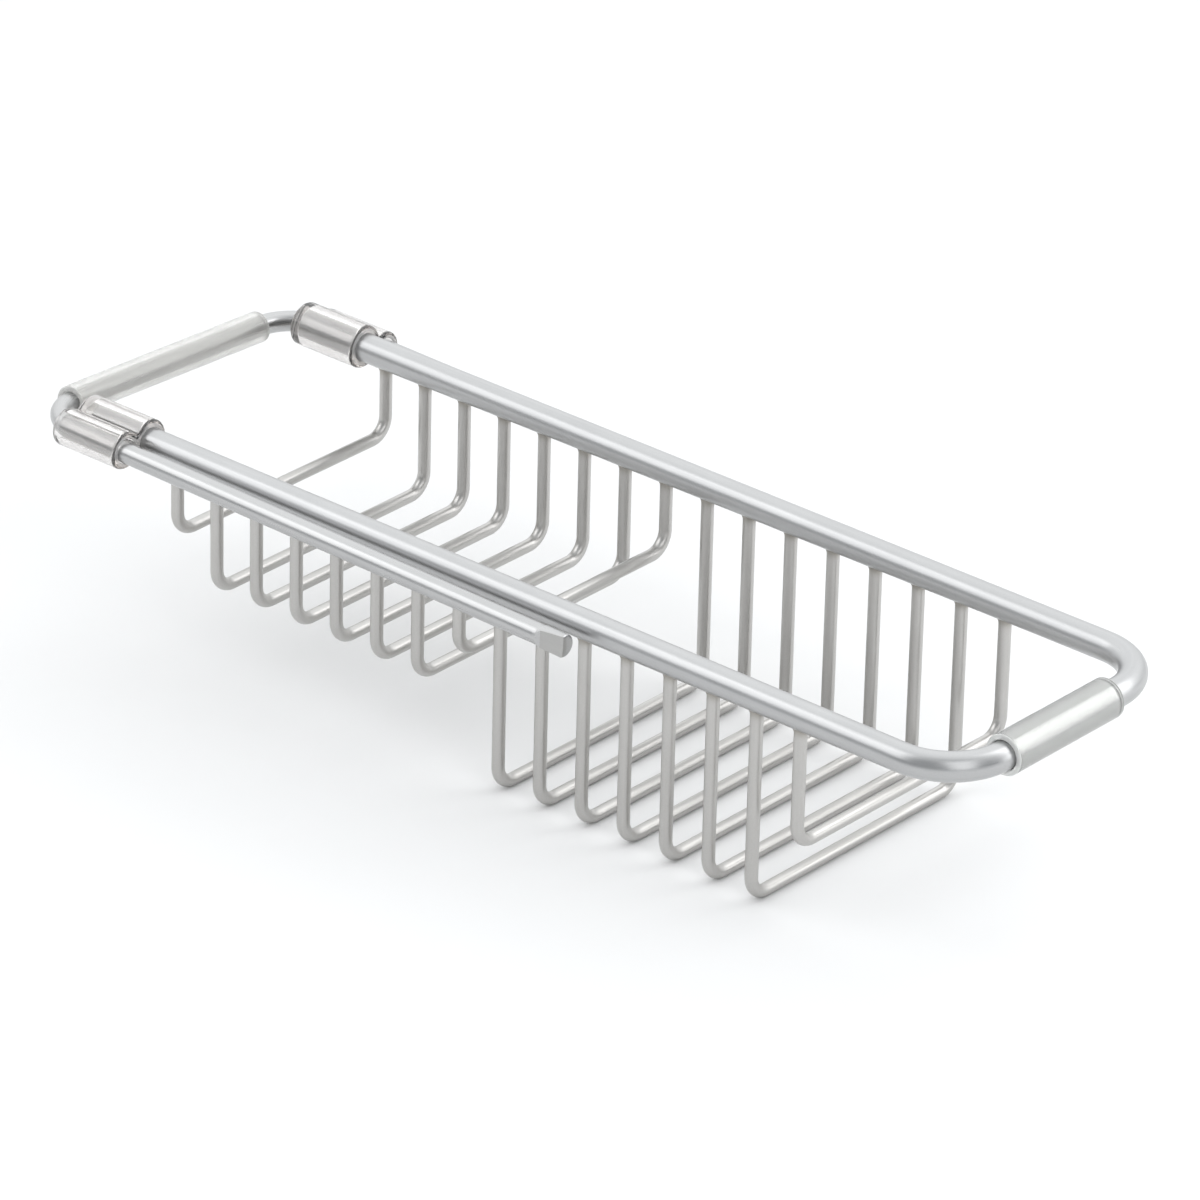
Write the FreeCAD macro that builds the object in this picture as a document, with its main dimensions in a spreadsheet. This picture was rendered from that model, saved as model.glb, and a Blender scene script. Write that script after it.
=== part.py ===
"""Extendable sponge holder for a kitchen sink, in millimetres.

The origin is midway between the rails, on the underside of the right grip sleeve that rests on the rim.
+X runs along the rails towards that sleeve, +Y from the front rail to the rear rail and +Z up.
"""
import FreeCAD
import Part
import Sketcher
import math
import os

SIZES = {
    # Main frame: a tube bent to a U, from the cross bar back to the two rail ends
    "rail_spacing": 93.5,
    "rail_diameter": 9.0,
    "rail_wall": 1.2,
    "rail_length": 333.5,
    "rail_bend_radius": 20.0,
    # Basket wires, welded under the rails
    "wire_diameter": 4.0,
    "wire_bend_radius": 6.5,
    "rail_end_to_first_wire": 32.0,
    "last_wire_to_cross_bar": 57.0,
    "shallow_wire_depth": 26.8,
    "left_tray_depth": 40.5,
    "right_tray_depth": 65.6,
    "right_end_wire_depth": 42.4,
    # Connectors: a blind socket for a rail beside a through bore for an arm
    "connector_length": 25.5,
    "connector_end_wall": 2.4,
    "front_connector_slack": 2.4,
    "socket_wall": 2.4,
    "socket_clearance": 0.05,
    "bore_wall": 2.0,
    "slide_clearance": 0.75,
    "bore_to_socket": 10.5,
    "connector_edge_radius": 0.9,
    "front_connector_droop": -3.0,
    "rear_connector_droop": 25.0,
    # Extension frame: a rod bent to a U, its arm ends pressed flat on the outside as stops
    "arm_diameter": 6.5,
    "arm_bend_radius": 16.5,
    "arm_spread": 0.6,
    "bend_entry": 5.6,
    "travel": 164.2,
    "stop_clearance": 0.3,
    "arm_droop": 0.76,
    "stop_ramp": 1.5,
    "stop_length": 8.3,
    "stop_neck_radius": 3.5,
    "stop_neck_back": 3.3,
    "stop_neck_flat": 2.4,
    "stop_tip_radius": 3.6,
    "stop_tip_back": 3.05,
    "stop_tip_flat": 1.85,
    "stop_chamfer": 0.6,
    # Grip sleeves, pushed on the two cross bars; the left one is soft and follows the front bend a little way
    "grip_clearance": 0.1,
    "right_grip_wall": 1.8,
    "right_grip_length": 48.0,
    "right_grip_shift": -2.2,
    "left_grip_wall": 1.65,
    "left_grip_straight": 81.6,
    "left_grip_wrap": 2.8,
    "grip_edge_radius": 0.4,
}

LEFT_TRAY_WIRES = 6
RIGHT_TRAY_WIRES = 7

# The basket's wires from left to right, each with the name of its depth
WIRE_DEPTHS = {
    "left_end_wire": "shallow_wire_depth",
    **{f"left_tray_wire_{i + 1}": "left_tray_depth" for i in range(LEFT_TRAY_WIRES)},
    "divider_wire": "shallow_wire_depth",
    **{f"right_tray_wire_{i + 1}": "right_tray_depth" for i in range(RIGHT_TRAY_WIRES)},
    "right_end_wire": "right_end_wire_depth",
}

# Sizes and places that follow from the driving ones, in the order in which they need each other
DERIVED = {
    "left_grip_drop": "arm_bend_radius * sin(left_grip_wrap / arm_bend_radius * 180 / pi)",
    "right_grip_bore": "rail_diameter + 2 * grip_clearance",
    "right_grip_diameter": "right_grip_bore + 2 * right_grip_wall",
    "left_grip_bore": "arm_diameter + 2 * grip_clearance",
    "left_grip_diameter": "left_grip_bore + 2 * left_grip_wall",
    "socket_diameter": "rail_diameter + 2 * socket_clearance",
    "socket_barrel_diameter": "socket_diameter + 2 * socket_wall",
    "bore_diameter": "arm_diameter + 2 * slide_clearance",
    "bore_barrel_diameter": "bore_diameter + 2 * bore_wall",
    "wire_pitch": f"(rail_length - rail_end_to_first_wire - last_wire_to_cross_bar) / {len(WIRE_DEPTHS) - 1}",
    "rail_height": "right_grip_diameter / 2",
    "rail_offset": "rail_spacing / 2",
    "rear_connector_left": "-rail_length - connector_end_wall",
    "front_connector_left": "rear_connector_left - front_connector_slack",
    "front_bore_y": "-rail_offset - bore_to_socket * cos(front_connector_droop)",
    "front_bore_z": "rail_height - bore_to_socket * sin(front_connector_droop)",
    "rear_bore_y": "rail_offset + bore_to_socket * cos(rear_connector_droop)",
    "rear_bore_z": "rail_height - bore_to_socket * sin(rear_connector_droop)",
    "bore_rise": "rear_bore_z - front_bore_z",
    "bore_reach": "rear_bore_y - front_bore_y",
    "extension_roll": "atan2(bore_rise; bore_reach)",
    "arm_spacing": "sqrt(bore_reach ^ 2 + bore_rise ^ 2) + 2 * arm_spread",
    "front_arm_y": "front_bore_y - arm_spread * cos(extension_roll)",
    "front_arm_z": "front_bore_z - arm_spread * sin(extension_roll)",
    "stop_start": "rear_connector_left + connector_length + travel + stop_clearance",
    "sliding_bar_x": "front_connector_left + bend_entry - arm_bend_radius",
    "arm_length": "stop_start - sliding_bar_x",
    "stop_drop": "(stop_start - front_connector_left - connector_length / 2) * tan(arm_droop)",
}

ALONG_X = (1, 0, 0)
ALONG_Y = (0, 1, 0)
# How near two values count as equal when edges are picked
SAME = 1e-6

doc = FreeCAD.newDocument("sponge_holder")


def make_sheet():
    """Return a spreadsheet with the driving sizes and what follows from them, each cell with its alias."""
    cells = doc.addObject("Spreadsheet::Sheet", "Sizes")
    texts = {name: str(size) for name, size in SIZES.items()}
    texts.update({name: "=" + formula for name, formula in DERIVED.items()})
    for row, (name, text) in enumerate(texts.items(), start=1):
        cells.set(f"A{row}", name)
        cells.set(f"B{row}", text)
        cells.setAlias(f"B{row}", name)
    doc.recompute()
    return cells


sheet = make_sheet()


def number(formula):
    """Return the value of a formula of the sheet's aliases, which are written as Sizes.name."""
    return float(FreeCAD.Units.Quantity(str(sheet.evalExpression(formula))).Value)


def origin_plane(body, role):
    """Return one of a body's own origin planes by its role."""
    return next(feature for feature in body.Origin.OriginFeatures if feature.Role == role)


def about(axis, angle):
    """Return the formula of a turn about an axis by an angle in degrees."""
    return "rotation(vector({}; {}; {}); {})".format(*axis, angle)


def place_at(base, turn):
    """Return the formula of a placement at a base point, turned by a turn's formula."""
    return "placement(vector({}; {}; {}); {})".format(*base, turn)


def add_body(name, base, turn):
    """Add a body with a label, placed by the formulas of a base point and a turn."""
    body = doc.addObject("PartDesign::Body", name)
    body.Label = name
    body.setExpression("Placement", place_at(base, turn))
    return body


def add_sketch(body, name, role, offset=None):
    """Add a sketch on one of the body's origin planes, moved along its normal by a formula."""
    sketch = body.newObject("Sketcher::SketchObject", name)
    sketch.AttachmentSupport = [(origin_plane(body, role), "")]
    sketch.MapMode = "FlatFace"
    if offset:
        sketch.setExpression("AttachmentOffset.Base.z", offset)
    return sketch


def drive(sketch, kind, references, formula):
    """Add a dimension to a sketch and bind it to a formula."""
    index = sketch.addConstraint(Sketcher.Constraint(kind, *references, number(formula)))
    sketch.setExpression(f"Constraints[{index}]", formula)


def add_circle(sketch, diameter, across="0"):
    """Add a circle on the sketch's horizontal axis, at a formula's distance across from the origin."""
    centre = FreeCAD.Vector(number(across), 0, 0)
    circle = sketch.addGeometry(Part.Circle(centre, FreeCAD.Vector(0, 0, 1), number(diameter) / 2))
    if across == "0":
        sketch.addConstraint(Sketcher.Constraint("Coincident", circle, 3, -1, 1))
    else:
        sketch.addConstraint(Sketcher.Constraint("PointOnObject", circle, 3, -1))
        drive(sketch, "DistanceX", (-1, 1, circle, 3), across)
    drive(sketch, "Diameter", (circle,), diameter)


def add_circle_pair(sketch, diameter, spacing):
    """Add two circles on the sketch's vertical axis, one at the origin and one a spacing above it."""
    add_circle(sketch, diameter)
    centre = FreeCAD.Vector(0, number(spacing), 0)
    upper = sketch.addGeometry(Part.Circle(centre, FreeCAD.Vector(0, 0, 1), number(diameter) / 2))
    sketch.addConstraint(Sketcher.Constraint("PointOnObject", upper, 3, -2))
    drive(sketch, "DistanceY", (-1, 1, upper, 3), spacing)
    drive(sketch, "Diameter", (upper,), diameter)


def add_u_path(body, length, spacing, radius):
    """Add a sketch of a U on the XY plane: both legs start at x = 0, and a cross bar joins them at a length."""
    sketch = add_sketch(body, body.Label + "_path", "XY_Plane")
    bar, far, bend = number(length), number(spacing), number(radius)
    corner = bar - bend
    halfway = bend * (1 - 0.5 ** 0.5)
    points = [(0, 0), (corner, 0), (bar, bend), (bar, far - bend), (corner, far), (0, far)]
    start, near_a, near_b, far_a, far_b, end = (FreeCAD.Vector(x, y, 0) for x, y in points)
    near_mid = FreeCAD.Vector(bar - halfway, halfway, 0)
    far_mid = FreeCAD.Vector(bar - halfway, far - halfway, 0)
    front = sketch.addGeometry(Part.LineSegment(start, near_a))
    near = sketch.addGeometry(Part.Arc(near_a, near_mid, near_b))
    cross = sketch.addGeometry(Part.LineSegment(near_b, far_a))
    away = sketch.addGeometry(Part.Arc(far_a, far_mid, far_b))
    rear = sketch.addGeometry(Part.LineSegment(far_b, end))
    # Each arc runs counter-clockwise, so its first point is where the path comes in
    for before, after in ((front, near), (near, cross), (cross, away), (away, rear)):
        sketch.addConstraint(Sketcher.Constraint("Tangent", before, 2, after, 1))
    sketch.addConstraint(Sketcher.Constraint("Coincident", front, 1, -1, 1))
    sketch.addConstraint(Sketcher.Constraint("Horizontal", front))
    sketch.addConstraint(Sketcher.Constraint("PointOnObject", rear, 2, -2))
    sketch.addConstraint(Sketcher.Constraint("Horizontal", rear))
    sketch.addConstraint(Sketcher.Constraint("Vertical", cross))
    sketch.addConstraint(Sketcher.Constraint("Equal", near, away))
    drive(sketch, "Radius", (near,), radius)
    drive(sketch, "DistanceX", (-1, 1, cross, 1), length)
    drive(sketch, "DistanceY", (-1, 1, rear, 2), spacing)
    return sketch


def sweep_u(body, length, spacing, radius, diameter, bore=None):
    """Sweep a rod, or a tube where a bore is given, along a U."""
    path = add_u_path(body, length, spacing, radius)
    profile = add_sketch(body, body.Label + "_section", "YZ_Plane")
    add_circle(profile, diameter)
    if bore:
        add_circle(profile, bore)
    pipe = body.newObject("PartDesign::AdditivePipe", body.Label + "_sweep")
    pipe.Profile = profile
    pipe.Spine = path
    doc.recompute()


def extrude(body, kind, sketch, length, reverse=False, both_sides=False):
    """Pad or pocket a sketch by a formula's length."""
    feature = body.newObject("PartDesign::" + kind, sketch.Label + "_" + kind.lower())
    feature.Profile = sketch
    feature.setExpression("Length", length)
    feature.Reversed = reverse
    feature.SideType = "Symmetric" if both_sides else "One side"
    doc.recompute()


def cut(body, sketch, length, both_sides=False):
    """Pocket a sketch, and stop if the pocket takes nothing away."""
    before = body.Shape.Volume
    extrude(body, "Pocket", sketch, length, both_sides=both_sides)
    if body.Shape.Volume >= before:
        raise RuntimeError(sketch.Label + " cuts nothing")


def soften(body, kind, size, wanted):
    """Fillet or chamfer the edges of a body's last feature that a test picks."""
    base = body.Tip
    names = [f"Edge{i}" for i, edge in enumerate(base.Shape.Edges, start=1) if wanted(edge)]
    edges = body.newObject("PartDesign::" + kind, body.Label + "_" + kind.lower())
    edges.Base = (base, names)
    edges.setExpression("Radius" if kind == "Fillet" else "Size", size)
    doc.recompute()


def make_main_frame():
    """Make the tube that carries everything: two rails and the cross bar at the origin end."""
    base = ("-Sizes.rail_length", "-Sizes.rail_offset", "Sizes.rail_height")
    frame = add_body("main_frame", base, about(ALONG_X, 0))
    bore = "Sizes.rail_diameter - 2 * Sizes.rail_wall"
    sweep_u(frame, "Sizes.rail_length", "Sizes.rail_spacing", "Sizes.rail_bend_radius",
            "Sizes.rail_diameter", bore)
    return frame


def make_wire(name, place, depth):
    """Make one basket wire: a U that hangs under the rails, its ends coped to sit on them."""
    along = f"-Sizes.rail_length + Sizes.rail_end_to_first_wire + {place} * Sizes.wire_pitch"
    # The turn points the U's legs down
    wire = add_body(name, (along, "-Sizes.rail_offset", "Sizes.rail_height"), about(ALONG_Y, 90))
    sweep_u(wire, "Sizes." + depth, "Sizes.rail_spacing", "Sizes.wire_bend_radius", "Sizes.wire_diameter")
    cope = add_sketch(wire, name + "_cope", "XY_Plane")
    add_circle_pair(cope, "Sizes.rail_diameter", "Sizes.rail_spacing")
    cut(wire, cope, "2 * Sizes.wire_diameter", both_sides=True)
    return wire


def make_wires():
    """Make the basket's wires from left to right."""
    return [make_wire(name, place, depth) for place, (name, depth) in enumerate(WIRE_DEPTHS.items())]


def make_connector(name, side, angle):
    """Make a connector: two barrels side by side, turned about the rail so that the arm's barrel points out."""
    base = (f"Sizes.{name}_left", f"{side} * Sizes.rail_offset", "Sizes.rail_height")
    connector = add_body(name, base, about(ALONG_X, angle))
    socket_barrel = add_sketch(connector, name + "_socket_barrel", "YZ_Plane")
    add_circle(socket_barrel, "Sizes.socket_barrel_diameter")
    extrude(connector, "Pad", socket_barrel, "Sizes.connector_length")
    bore_barrel = add_sketch(connector, name + "_bore_barrel", "YZ_Plane")
    add_circle(bore_barrel, "Sizes.bore_barrel_diameter", "Sizes.bore_to_socket")
    extrude(connector, "Pad", bore_barrel, "Sizes.connector_length")
    soften(connector, "Fillet", "Sizes.connector_edge_radius", is_rim)
    socket = add_sketch(connector, name + "_socket", "YZ_Plane", "Sizes.connector_length")
    add_circle(socket, "Sizes.socket_diameter")
    cut(connector, socket, "Sizes.connector_length - Sizes.connector_end_wall")
    bore = add_sketch(connector, name + "_bore", "YZ_Plane", "Sizes.connector_length")
    add_circle(bore, "Sizes.bore_diameter", "Sizes.bore_to_socket")
    cut(connector, bore, "Sizes.connector_length")
    return connector


def is_rim(edge):
    """Tell whether an edge is an arc in a plane square to the X axis, so that it bounds an end face."""
    return isinstance(edge.Curve, Part.Circle) and 1 - abs(edge.Curve.Axis.x) < SAME


def add_pressed_outline(sketch, place, spacing):
    """Add the outline of a pressed arm end: a flat on the outside of the U, and a round back.

    A place of neck or tip names the three sizes: the back's radius, and how far back and flat are from the
    arm's axis. A spacing puts the outline on the far arm, whose flat faces the other way.
    """
    radius, back, flat = (f"Sizes.stop_{place}_{size}" for size in ("radius", "back", "flat"))
    centre_out, flat_out = f"{radius} - {back}", flat
    side = -1
    if spacing:
        centre_out, flat_out = f"{spacing} + {centre_out}", f"{spacing} + {flat_out}"
        side = 1
    centre_x, flat_x = side * number(centre_out), side * number(flat_out)
    half_flat = (number(radius) ** 2 - (flat_x - centre_x) ** 2) ** 0.5
    start, end = (FreeCAD.Vector(flat_x, side * half, 0) for half in (half_flat, -half_flat))
    behind = FreeCAD.Vector(centre_x - side * number(radius), 0, 0)
    arc = sketch.addGeometry(Part.Arc(start, behind, end))
    line = sketch.addGeometry(Part.LineSegment(end, start))
    sketch.addConstraint(Sketcher.Constraint("Coincident", arc, 2, line, 1))
    sketch.addConstraint(Sketcher.Constraint("Coincident", line, 2, arc, 1))
    sketch.addConstraint(Sketcher.Constraint("Symmetric", line, 1, line, 2, -1))
    drive(sketch, "Radius", (arc,), radius)
    # Each distance is taken from left to right, so that it is positive on either arm
    for point, distance in (((arc, 3), centre_out), ((line, 1), flat_out)):
        ends = (-1, 1, *point) if spacing else (*point, -1, 1)
        drive(sketch, "DistanceX", ends, distance)


def add_stop(body, name, spacing=None):
    """Press an arm's end flat: a short ramp from the round arm, then a tongue that spreads to its tip."""
    round_end = add_sketch(body, name + "_round", "YZ_Plane")
    add_circle(round_end, "Sizes.arm_diameter", spacing or "0")
    neck = add_sketch(body, name + "_neck", "YZ_Plane", "-Sizes.stop_ramp")
    add_pressed_outline(neck, "neck", spacing)
    tip = add_sketch(body, name + "_tip", "YZ_Plane", "-Sizes.stop_ramp - Sizes.stop_length")
    add_pressed_outline(tip, "tip", spacing)
    tongue = body.newObject("PartDesign::AdditiveLoft", name + "_tongue")
    tongue.Profile = round_end
    tongue.Sections = [neck, tip]
    tongue.Ruled = True
    doc.recompute()
    tip_x = -number("Sizes.stop_ramp + Sizes.stop_length")
    middle = number(spacing or "0")
    reach = number("Sizes.arm_diameter")
    soften(body, "Chamfer", "Sizes.stop_chamfer", lambda edge: abs(edge.CenterOfMass.x - tip_x) < SAME
           and abs(edge.CenterOfMass.y - middle) < reach)


def make_extension_frame():
    """Make the sliding rod: its bar, its two arms through the connectors and their pressed ends."""
    base = ("Sizes.stop_start", "Sizes.front_arm_y", "Sizes.front_arm_z - Sizes.stop_drop")
    # Half a turn points the U's legs to -X. The two connectors give it a roll, and their play a droop
    turns = (about(ALONG_Y, "Sizes.arm_droop"), about(ALONG_X, "Sizes.extension_roll"), about(ALONG_Y, 180))
    frame = add_body("extension_frame", base, " * ".join(turns))
    sweep_u(frame, "Sizes.arm_length", "Sizes.arm_spacing", "Sizes.arm_bend_radius", "Sizes.arm_diameter")
    add_stop(frame, "front_stop")
    add_stop(frame, "rear_stop", "Sizes.arm_spacing")
    return frame


def make_right_grip():
    """Make the sleeve on the fixed cross bar: a plain tube along Y with softened ends."""
    base = ("0", "Sizes.right_grip_shift", "Sizes.rail_height")
    grip = add_body("right_grip_sleeve", base, about(ALONG_X, 0))
    wall = add_sketch(grip, "right_grip_wall", "XZ_Plane")
    add_circle(wall, "Sizes.right_grip_diameter")
    add_circle(wall, "Sizes.right_grip_bore")
    extrude(grip, "Pad", wall, "Sizes.right_grip_length", both_sides=True)
    outer = number("Sizes.right_grip_diameter") / 2
    soften(grip, "Fillet", "Sizes.grip_edge_radius",
           lambda edge: isinstance(edge.Curve, Part.Circle) and abs(edge.Curve.Radius - outer) < SAME)
    return grip


def add_grip_path(body):
    """Add the left sleeve's path: straight from its rear end, then along the sliding rod's front bend."""
    sketch = add_sketch(body, "left_grip_path", "XY_Plane")
    straight, bend, drop = (number(size) for size in (
        "Sizes.left_grip_straight", "Sizes.arm_bend_radius", "Sizes.left_grip_drop"))
    turn, middle, end = (FreeCAD.Vector(bend * (math.cos(angle) - 1), -straight - bend * math.sin(angle), 0)
                         for angle in (0, math.asin(drop / bend) / 2, math.asin(drop / bend)))
    line = sketch.addGeometry(Part.LineSegment(FreeCAD.Vector(0, 0, 0), turn))
    # The arc runs counter-clockwise, so it ends where the straight part does
    arc = sketch.addGeometry(Part.Arc(end, middle, turn))
    sketch.addConstraint(Sketcher.Constraint("Coincident", line, 1, -1, 1))
    sketch.addConstraint(Sketcher.Constraint("Vertical", line))
    sketch.addConstraint(Sketcher.Constraint("Tangent", line, 2, arc, 2))
    drive(sketch, "DistanceY", (line, 2, -1, 1), "Sizes.left_grip_straight")
    drive(sketch, "Radius", (arc,), "Sizes.arm_bend_radius")
    drive(sketch, "DistanceY", (arc, 1, line, 2), "Sizes.left_grip_drop")
    return sketch


def make_left_grip():
    """Make the sleeve on the sliding bar: a soft tube that follows the rod, carried by the rod's placement."""
    grip = doc.addObject("PartDesign::Body", "left_grip_sleeve")
    grip.Label = "left_grip_sleeve"
    rear_end = ("Sizes.arm_length", "Sizes.arm_bend_radius + Sizes.left_grip_straight", "0")
    grip.setExpression("Placement", "extension_frame.Placement * " + place_at(rear_end, about(ALONG_X, 0)))
    path = add_grip_path(grip)
    wall = add_sketch(grip, "left_grip_wall", "XZ_Plane")
    add_circle(wall, "Sizes.left_grip_diameter")
    add_circle(wall, "Sizes.left_grip_bore")
    pipe = grip.newObject("PartDesign::AdditivePipe", "left_grip_sweep")
    pipe.Profile = wall
    pipe.Spine = path
    doc.recompute()
    outer, joint_y = number("Sizes.left_grip_diameter") / 2, -number("Sizes.left_grip_straight")
    soften(grip, "Fillet", "Sizes.grip_edge_radius",
           lambda edge: isinstance(edge.Curve, Part.Circle) and abs(edge.Curve.Radius - outer) < SAME
           and abs(edge.CenterOfMass.y - joint_y) > SAME)
    return grip


def check(parts):
    """Stop if any object of the document failed or any piece isn't one valid solid."""
    for thing in doc.Objects:
        if "Invalid" in thing.State or "Error" in thing.State:
            raise RuntimeError(f"{thing.Label} failed: {thing.State}")
    for part in parts:
        shape = part.Shape
        if shape.isNull() or not shape.isValid() or len(shape.Solids) != 1:
            raise RuntimeError(f"{part.Label} is not one valid solid")


def write(parts):
    """Write each piece to its own STEP file and print its volume and box."""
    os.makedirs("parts", exist_ok=True)
    for part in parts:
        part.Shape.exportStep(os.path.join("parts", part.Label + ".step"))
        box = part.Shape.BoundBox
        corners = (box.XMin, box.YMin, box.ZMin, box.XMax, box.YMax, box.ZMax)
        print(part.Label, round(part.Shape.Volume, 1), [round(value, 2) for value in corners])


pieces = [make_main_frame()] + make_wires()
pieces += [make_connector("front_connector", "-1", "180 + Sizes.front_connector_droop")]
pieces += [make_connector("rear_connector", "1", "-Sizes.rear_connector_droop")]
pieces += [make_extension_frame(), make_right_grip(), make_left_grip()]
doc.recompute()
check(pieces)
write(pieces)
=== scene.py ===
"""Looks of an extendable sponge holder that spans a kitchen sink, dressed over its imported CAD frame.

Lengths are in metres in the part's own frame. The origin is on the underside of the right grip sleeve, +X runs
along the rails towards that sleeve, +Y from the front rail to the rear rail and +Z up.
"""

import logging
import math
from dataclasses import dataclass
from enum import Enum

import bmesh
import bpy
import numpy as np
from mathutils import Matrix, Vector
from numpy.typing import NDArray


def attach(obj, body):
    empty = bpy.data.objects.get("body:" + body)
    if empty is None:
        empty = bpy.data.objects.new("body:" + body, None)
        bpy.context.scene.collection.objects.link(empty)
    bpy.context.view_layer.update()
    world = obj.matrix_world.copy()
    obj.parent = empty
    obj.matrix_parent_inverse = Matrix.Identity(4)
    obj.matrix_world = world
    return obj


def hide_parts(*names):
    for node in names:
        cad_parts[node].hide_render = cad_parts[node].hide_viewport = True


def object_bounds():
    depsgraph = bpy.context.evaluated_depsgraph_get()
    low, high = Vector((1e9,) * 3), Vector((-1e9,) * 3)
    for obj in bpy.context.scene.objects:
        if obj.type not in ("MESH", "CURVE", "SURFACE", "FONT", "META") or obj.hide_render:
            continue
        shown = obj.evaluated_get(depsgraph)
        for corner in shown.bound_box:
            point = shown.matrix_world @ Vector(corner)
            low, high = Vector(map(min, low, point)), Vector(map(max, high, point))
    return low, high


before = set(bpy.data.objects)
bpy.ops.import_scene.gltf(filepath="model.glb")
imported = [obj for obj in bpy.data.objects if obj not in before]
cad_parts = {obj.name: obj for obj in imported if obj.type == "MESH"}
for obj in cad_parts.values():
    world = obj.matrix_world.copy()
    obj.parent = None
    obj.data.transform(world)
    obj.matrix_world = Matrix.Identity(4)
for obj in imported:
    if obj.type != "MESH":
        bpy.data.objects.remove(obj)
CAD_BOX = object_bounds()

Array = NDArray[np.float64]
Quads = NDArray[np.int64]
Colour = tuple[float, float, float]
Triple = tuple[float, float, float]
Range = tuple[float, float]
Socket = bpy.types.NodeSocket

MM = 0.001
QUARTER_TURN = math.pi / 2
UP = np.array([0.0, 0.0, 1.0])
# Vertices nearer than this are one, where a pole or a shared edge closes a surface
MERGE = 1e-7
# Edges that turn by more than this stay crisp
CRISP = math.radians(24)
# The attribute with the place on a straightened bar: across, across and along
STRAIGHT = "straight"
# The attribute that is 1 where a piece is dull: at a weld, a pressed flat or a cut end
DULL = "dull"
# The attribute that is 1 inside a tube's or sleeve's bore
BORE = "bore"
# How far the patterns of two like bars are apart, so that no two look the same
PATTERN_STEP = 0.731
# All that a share or a noise can be, and what a noise mostly is
FULL: Range = (0.0, 1.0)
USUAL: Range = (0.3, 0.7)

log = logging.getLogger("sponge_holder")


class Body(Enum):
    """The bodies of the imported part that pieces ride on."""

    BASKET = "basket"
    EXTENSION = "extension"


class Slot(Enum):
    """The record's material slots."""

    TUBE = "satin_tube"
    WIRE = "satin_wire"
    ROD = "satin_rod"
    CLEAR = "clear_plastic"
    GRIP = "satin_grip"
    FROSTED = "frosted_grip"


class Along(Enum):
    """The direction that a lamp's long edge follows."""

    X = (1.0, 0.0, 0.0)
    Y = (0.0, 1.0, 0.0)
    BEND = (0.5, math.sqrt(0.75), 0.0)


class Side(Enum):
    """The two long sides of the holder, by the sign of their Y."""

    FRONT = -1
    REAR = 1


def about_x(degrees: float) -> Array:
    """Return the turn about X by an angle."""
    return np.array(Matrix.Rotation(math.radians(degrees), 3, "X"))


def about_y(degrees: float) -> Array:
    """Return the turn about Y by an angle."""
    return np.array(Matrix.Rotation(math.radians(degrees), 3, "Y"))


def smooth(share: Array) -> Array:
    """Return 3t² − 2t³ of a share held between 0 and 1, which leaves and arrives level."""
    held = np.clip(share, 0, 1)
    return held * held * (3 - 2 * held)


@dataclass(frozen=True)
class Place:
    """A rigid placement: a turn of the piece's own axes, then a move to a base point."""

    base: Array
    turn: Array

    def put(self, points: Array) -> Array:
        """Carry points from the piece's own axes into the part's frame."""
        return points @ self.turn.T + self.base


@dataclass(frozen=True)
class BentPath:
    """The middle line of a bar bent to a U: a leg along x, a bend, a cross bar along y, a bend and a leg back.

    The legs start at x = 0, the cross bar is at the reach, the legs are a spacing apart, and both bends have
    one radius. A distance along it may lie past either end, where the leg runs on straight.
    """

    reach: float
    spacing: float
    radius: float

    @property
    def leg(self) -> float:
        """How long each straight leg is."""
        return self.reach - self.radius

    @property
    def quarter(self) -> float:
        """How long each bend is."""
        return self.radius * QUARTER_TURN

    @property
    def bar(self) -> float:
        """How long the straight part of the cross bar is."""
        return self.spacing - 2 * self.radius

    @property
    def bar_start(self) -> float:
        """How far along the straight part of the cross bar starts."""
        return self.leg + self.quarter

    @property
    def length(self) -> float:
        """How long the whole line is."""
        return 2 * self.bar_start + self.bar

    def turned(self, along: Array) -> tuple[Array, Array]:
        """Work out how far each bend has turned the line.

        Args:
            along: distances along the line.

        Returns:
            The angles of the first and the second bend, each from 0 to a right angle.
        """
        first = np.clip((along - self.leg) / self.radius, 0, QUARTER_TURN)
        second = np.clip((along - self.bar_start - self.bar) / self.radius, 0, QUARTER_TURN)
        return first, second

    def middle(self, along: Array) -> Array:
        """Work out points of the line.

        x is the run along the first leg, plus the radius times the first bend's sine, less what the second
        bend and the second leg bring back. y is what the two bends and the cross bar add across.

        Args:
            along: distances along the line.

        Returns:
            One point for each distance.
        """
        first, second = self.turned(along)
        run_back = np.maximum(along - (self.length - self.leg), 0)
        x = np.minimum(along, self.leg) + self.radius * (np.sin(first) - 1 + np.cos(second)) - run_back
        across = np.clip(along - self.bar_start, 0, self.bar)
        y = across + self.radius * (1 - np.cos(first) + np.sin(second))
        return np.stack([x, y, np.zeros_like(x)], axis=-1)

    def inward(self, along: Array) -> Array:
        """Return the unit vectors that point square to the line to the inside of the U."""
        first, second = self.turned(along)
        angle = first + second
        return np.stack([-np.sin(angle), np.cos(angle), np.zeros_like(angle)], axis=-1)

    def carry(self, along: Array, inward: Array, upward: Array) -> Array:
        """Carry a cross-section along the line.

        Each point is the line's middle at its row's distance, plus its share of the inward vector, plus its
        share of the straight up one.

        Args:
            along: one distance for each row.
            inward: rows by columns, how far each point is towards the inside of the U.
            upward: rows by columns, how far each point is above the line's plane.

        Returns:
            Rows by columns of points.
        """
        middle = self.middle(along)[:, None, :]
        side = self.inward(along)[:, None, :]
        return middle + inward[..., None] * side + upward[..., None] * UP


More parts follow.
